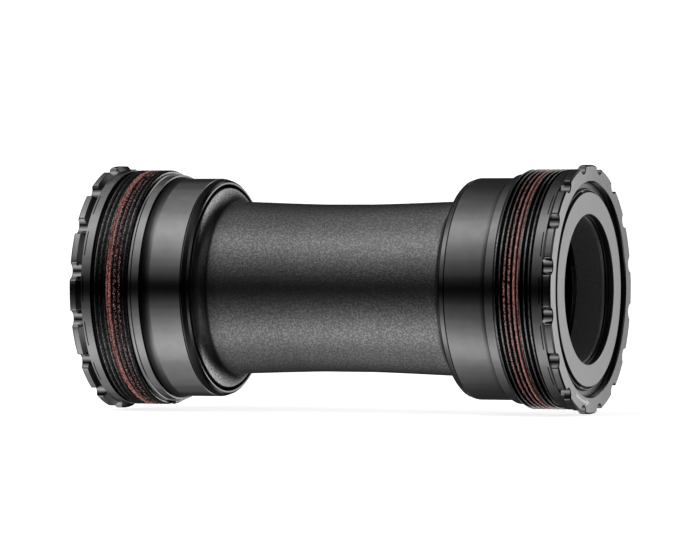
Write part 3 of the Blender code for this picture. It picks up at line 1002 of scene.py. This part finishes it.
class BRACKET_OT_races(bpy.types.Operator):
    """Grinds the bearing races with their ball tracks"""

    bl_idname = "bracket.races"
    bl_label = "Bearing races"

    def execute(self, context):
        sizes = context.scene.bracket_bearing
        middle = (RACE_FRONT + RACE_BACK) / 2
        material = ground_material("race_steel", context.scene.bracket_colours.steel, 0.22)

        def ring(land, outward, back):
            """A race with a track in its land, and its back on the far side."""
            half = acos(abs(land - sizes.pitch_radius) / sizes.track_radius)
            steps = 12
            track = []
            for step in range(steps + 1):
                turn = -half + 2 * half * step / steps
                track.append((middle + sizes.track_radius * sin(turn),
                              sizes.pitch_radius + outward * sizes.track_radius * cos(turn), 0.0))
            return rounded_outline([(RACE_FRONT, land, 0.0001), *track, (RACE_BACK, land, 0.0001),
                                    (RACE_BACK, back, 0.0003), (RACE_FRONT, back, 0.0003)])

        outer = ring(sizes.outer_track, 1, RACE_RADIUS)
        inner = ring(INNER_RACE_RADIUS, -1, sizes.bore_radius)
        add_pair("outer_race_ground", outer, PLAIN_STEPS, "cup", "bearing_outer_race", material)
        add_pair("inner_race_ground", inner, PLAIN_STEPS, "spindle_set", "bearing_inner_race", material)
        return {"FINISHED"}


class BRACKET_OT_balls(bpy.types.Operator):
    """Sets the balls in each bearing and the cage that spaces them"""

    bl_idname = "bracket.balls"
    bl_label = "Balls and cages"

    def execute(self, context):
        sizes = context.scene.bracket_bearing
        colours = context.scene.bracket_colours
        ball_steel = ground_material("ball_steel", colours.steel, 0.10)
        nylon = moulded_material("cage_nylon", colours.cage, scale=3000.0, depth=0.000004, roughness=0.45)
        titles = {"Count": WHOLE, "Pitch radius": NUMBER}
        balls = geometry_tree("ball_ring", {**titles, "Ball radius": NUMBER}, write_balls)
        titles = {"Ring": "NodeSocketGeometry", **titles, "Pocket radius": NUMBER}
        cages = geometry_tree("cage_pockets", titles, write_cage)
        values = {"Count": sizes.ball_count, "Pitch radius": sizes.pitch_radius,
                  "Ball radius": sizes.ball_radius, "Pocket radius": sizes.pocket_radius}
        low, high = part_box("drive_ball_01")
        first = (low + high) / 2
        lead = atan2(-first.y, first.z)
        upright = Matrix.Rotation(lead, 4, "X") @ Matrix.Rotation(-pi / 2, 4, "Y")
        place = Matrix.Translation((first.x, 0.0, 0.0)) @ upright
        ring = rounded_outline([
            (CAGE_FRONT, sizes.cage_bore, 0.0002), (CAGE_FRONT, CAGE_RADIUS, 0.0002),
            (CAGE_BACK, CAGE_RADIUS, 0.0002), (CAGE_BACK, sizes.cage_bore, 0.0002)], 2)
        for side, turn in SIDES:
            nodes = [f"{side}_ball_{index:02d}" for index in range(1, sizes.ball_count + 1)]
            mesh = grow(balls, {**values, "Material": ball_steel})
            add_piece(side + "_balls_ground", mesh, turn @ place, side + "_cage_set",
                      nodes, ball_steel)
            base = turned("cage_ring", ring, even_angles(8 * sizes.ball_count))
            base.transform(place.inverted())
            mesh = grow(cages, {**values, "Material": nylon}, base)
            add_piece(side + "_cage_moulded", mesh, turn @ place, side + "_cage_set",
                      [side + "_ball_cage"], nylon)
        return {"FINISHED"}


class BRACKET_OT_marks(bpy.types.Operator):
    """Prints a plain arrow on each rim face that shows which way the cup tightens"""

    bl_idname = "bracket.marks"
    bl_label = "Tightening arrows"

    def execute(self, context):
        sizes = context.scene.bracket_cup
        middle = (sizes.seat_radius + RIM_RADIUS) / 2 - 0.0005
        top, bottom = RIM_FACE - 0.000001, RIM_FACE - 2 * sizes.face_inset
        tail, stride, neck, tip, point = 24.5, 2.0, 8.4, 3.2, 0.00002
        shaft = [(tail - stride * step, sizes.arrow_half) for step in range(9)]
        head = [(neck, sizes.arrow_head), (tip, point)]
        material = print_material(context.scene.bracket_colours.print_white)
        for side, turn in SIDES:
            hand = 1 if side == "drive" else -1
            stations = [(pi + hand * radians(angle), middle, half) for angle, half in shaft + head]
            mesh = printed_strip("arrow", stations, top, bottom)
            add_piece(side + "_tighten_arrow", mesh, turn, side + "_cup", [], material)
        return {"FINISHED"}


class BRACKET_OT_stage(bpy.types.Operator):
    """Sets up the camera, the pale sweep and the soft studio light"""

    bl_idname = "bracket.stage"
    bl_label = "Stage"

    def execute(self, context):
        sizes = context.scene.bracket_stage
        self.place_camera(context.scene, sizes)
        self.lay_sweep(sizes)
        self.light_studio(context.scene, sizes)
        self.hang_card(context.scene, sizes)
        context.scene.view_settings.view_transform = "Standard"
        return {"FINISHED"}

    def place_camera(self, scene, sizes):
        lens = bpy.data.cameras.new("studio_camera")
        lens.sensor_width = SENSOR_WIDTH
        lens.lens = sizes.focal * SENSOR_WIDTH
        lens.clip_start = 0.01
        lens.clip_end = 20.0
        camera = bpy.data.objects.new("studio_camera", lens)
        level = cos(sizes.elevation)
        back = Vector((sin(sizes.azimuth) * level, -cos(sizes.azimuth) * level,
                       sin(sizes.elevation)))
        right = Vector((cos(sizes.azimuth), sin(sizes.azimuth), 0.0))
        aim = Vector((0.0, 0.0, sizes.aim_up)) - right * sizes.aim_side
        camera.location = back * sizes.distance
        camera.rotation_euler = (camera.location - aim).to_track_quat("Z", "Y").to_euler()
        scene.collection.objects.link(camera)
        scene.camera = camera

    def lay_sweep(self, sizes):
        def write(graph):
            paper = graph.noise(graph.place(), 300.0)
            shade = graph.blend(paper, (0.86, 0.86, 0.86, 1.0), (0.90, 0.90, 0.90, 1.0))
            return graph.surface({
                "Base Color": shade,
                "Roughness": 0.9,
                "Emission Color": (1.0, 1.0, 1.0, 1.0),
                "Emission Strength": 0.80,
                "Specular IOR Level": 0.0,
            })

        floor = CAD_BOX[0].z - 0.0002
        radius, bend = sizes.floor_radius, sizes.floor_radius * 0.4
        outline = [(0.0, floor), (0.05, floor), (0.3, floor), (radius - bend, floor)]
        bend_steps = 12
        for step in range(1, bend_steps + 1):
            turn = pi / 2 * step / bend_steps
            outline.append((radius - bend + bend * sin(turn), floor + bend * (1 - cos(turn))))
        outline += [(radius, floor + radius), (radius * 0.6, floor + radius * 1.4),
                    (0.0, floor + radius * 1.5)]
        rings = [[(reach * cos(angle), reach * sin(angle), height) for angle in even_angles(72)]
                 for reach, height in outline]
        mesh = skin("pale_sweep", rings, "open")
        mesh.flip_normals()
        mesh.materials.append(make_material("pale_paper", write))
        sweep = bpy.data.objects.new("pale_sweep", mesh)
        bpy.context.scene.collection.objects.link(sweep)
        for ray in ("diffuse", "glossy", "transmission", "shadow"):
            setattr(sweep, "visible_" + ray, False)

    def light_studio(self, scene, sizes):
        world = bpy.data.worlds.new("soft_studio")
        world.use_nodes = True
        world.node_tree.nodes.clear()
        graph = Graph(world.node_tree)
        # Side runs from -1 at the nondrive end to 1 at the drive end, and height from -1 below to 1 above
        narrow_level, broad_level, wing_level, end_level = 0.93, 1.07, 0.14, 0.3
        ray = graph.add("ShaderNodeTexCoord", output="Generated")
        side = graph.add("ShaderNodeSeparateXYZ", None, {0: ray})
        depth, height = side.also("Y"), side.also("Z")
        around = abs(graph.math("ARCTAN2", height, -depth)) / pi
        broad = graph.add("ShaderNodeValToRGB", {"stops": BROAD_BOX}, {"Fac": around})
        narrow = graph.add("ShaderNodeValToRGB", {"stops": NARROW_BOX}, {"Fac": around})
        window = graph.gate(side, (-0.56, -0.44), (-0.40, -0.335))
        boxes = graph.blend(window, narrow * narrow_level, broad * broad_level)
        main = graph.span(side, -0.38, 0.06, 1.0, 0.15) * graph.span(side, 0.02, 0.3, 1.0, 0.3)
        main = main * graph.span(side, -0.94, -0.82, 0.05, 1.0)
        wings = graph.gate(side, (0.42, 0.62), (0.90, 0.99)) * wing_level
        low = graph.span(height, -0.45, -0.25, 1.0, 0.0)
        ends = graph.span(side, 0.80, 0.95) + graph.span(side, -0.95, -0.80, 1.0, 0.0)
        ends = low * ends * end_level
        back = graph.span(side, 0.34, 0.44, 0.24, 0.84) * graph.gate(side, (0.06, 0.22), (0.60, 0.80))
        glow = boxes * (main + wings) + ends + graph.span(around, 0.70, 0.86) * back
        light = graph.add("ShaderNodeBackground", None, {"Color": glow, "Strength": sizes.light})
        graph.add("ShaderNodeOutputWorld", None, {"Surface": light})
        scene.world = world

    def hang_card(self, scene, sizes):
        """A small soft light behind the object that shows in the faces towards the camera's side."""
        card = bpy.data.lights.new("face_card", "AREA")
        card.shape = "RECTANGLE"
        card.size = sizes.card_width
        card.size_y = sizes.card_width * 1.2
        card.energy = sizes.card_light * pi * card.size * card.size_y
        mirrored = Vector((sin(sizes.azimuth), cos(sizes.azimuth), 0.0))
        aside = Vector((mirrored.y, -mirrored.x, 0.0))
        lamp = bpy.data.objects.new("face_card", card)
        lamp.location = Vector((RIM_FACE, 0.0, 0.0)) + mirrored * sizes.card_distance
        lamp.location += aside * (sizes.card_width / 2 - sizes.card_edge)
        lamp.rotation_euler = mirrored.to_track_quat("Z", "Y").to_euler()
        lamp.visible_camera = False
        scene.collection.objects.link(lamp)


class BRACKET_PT_panel(bpy.types.Panel):
    """Lists the pieces and their sizes."""

    bl_idname = "BRACKET_PT_panel"
    bl_label = "Bottom bracket"
    bl_space_type = "VIEW_3D"
    bl_region_type = "UI"
    bl_category = "Bracket"

    def draw(self, context):
        for operator in OPERATORS:
            self.layout.operator(operator.bl_idname)
        for name, group in GROUPS.items():
            box = self.layout.box()
            for field in group.__annotations__:
                box.prop(getattr(context.scene, name), field)


GROUPS = {
    "bracket_cup": BracketCupSizes,
    "bracket_sleeve": BracketSleeveSizes,
    "bracket_bearing": BracketBearingSizes,
    "bracket_colours": BracketColours,
    "bracket_stage": BracketStageSizes,
}
OPERATORS = (
    BRACKET_OT_cups,
    BRACKET_OT_threads,
    BRACKET_OT_sleeve,
    BRACKET_OT_covers,
    BRACKET_OT_seals,
    BRACKET_OT_bushes,
    BRACKET_OT_races,
    BRACKET_OT_balls,
    BRACKET_OT_marks,
    BRACKET_OT_stage,
)


def register():
    for name, group in GROUPS.items():
        bpy.utils.register_class(group)
        setattr(bpy.types.Scene, name, PointerProperty(type=group))
    for operator in OPERATORS:
        bpy.utils.register_class(operator)
    bpy.utils.register_class(BRACKET_PT_panel)


def unregister():
    bpy.utils.unregister_class(BRACKET_PT_panel)
    for operator in reversed(OPERATORS):
        bpy.utils.unregister_class(operator)
    for name, group in reversed(GROUPS.items()):
        delattr(bpy.types.Scene, name)
        bpy.utils.unregister_class(group)


def main():
    register()
    bpy.ops.bracket.cups()
    bpy.ops.bracket.threads()
    bpy.ops.bracket.sleeve()
    bpy.ops.bracket.covers()
    bpy.ops.bracket.seals()
    bpy.ops.bracket.bushes()
    bpy.ops.bracket.races()
    bpy.ops.bracket.balls()
    bpy.ops.bracket.marks()
    bpy.ops.bracket.stage()
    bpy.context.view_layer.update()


if __name__ == "__main__":
    main()
